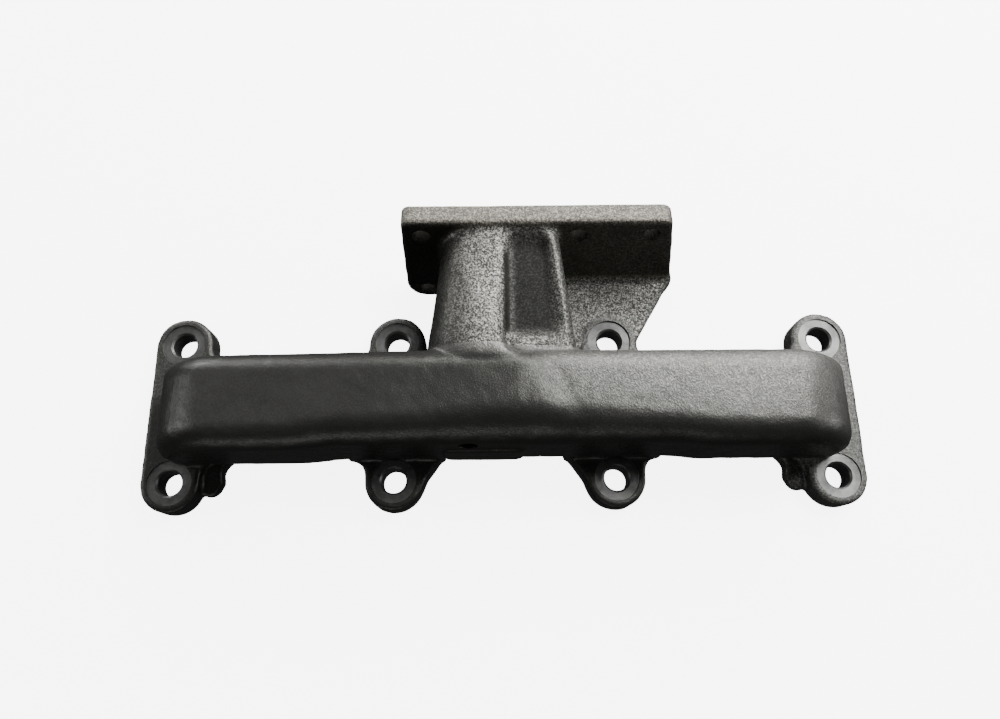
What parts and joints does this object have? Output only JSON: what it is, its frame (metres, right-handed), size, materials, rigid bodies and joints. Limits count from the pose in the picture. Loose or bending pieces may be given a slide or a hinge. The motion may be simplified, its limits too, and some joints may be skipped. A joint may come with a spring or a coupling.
{
  "type": "exhaust manifold",
  "caption": "Cast-iron log exhaust manifold: a long hollow collector on bolted port flanges, with a central riser to a tilted turbocharger flange braced by a web.",
  "frame": {"origin": "centre of the eight-bolt pattern on the cylinder-head face", "axes": "+X along the collector, +Y across it towards the turbo flange, +Z away from the cylinder head"},
  "size_m": [0.3426, 0.1322, 0.0615],
  "materials": {
    "collector_iron": "as-cast, smooth shot-blasted dark grey with fine grain",
    "flange_iron": "as-cast grey with machined bolt seats",
    "riser_iron": "as-cast, coarse sand grain",
    "turbo_flange_iron": "as-cast edges with a machined gasket face"
  },
  "bodies": {
    "root": {"port_flange_1": "flange_iron", "port_flange_2": "flange_iron", "port_flange_3": "flange_iron", "port_flange_4": "flange_iron", "bolt_lug_1_upper": "flange_iron", "bolt_lug_2_upper": "flange_iron", "bolt_lug_3_upper": "flange_iron", "bolt_lug_4_upper": "flange_iron", "bolt_lug_1_lower": "flange_iron", "bolt_lug_2_lower": "flange_iron", "bolt_lug_3_lower": "flange_iron", "bolt_lug_4_lower": "flange_iron", "collector_end_left": "collector_iron", "collector_arm_left": "collector_iron", "collector_port_2": "collector_iron", "collector_centre_left": "collector_iron", "collector_centre_right": "collector_iron", "collector_port_3": "collector_iron", "collector_arm_right": "collector_iron", "collector_end_right": "collector_iron", "riser_left_half": "riser_iron", "riser_right_half": "riser_iron", "turbo_flange": "turbo_flange_iron", "support_web": "riser_iron", "underside_pad": "collector_iron"}
  },
  "joints": []
}
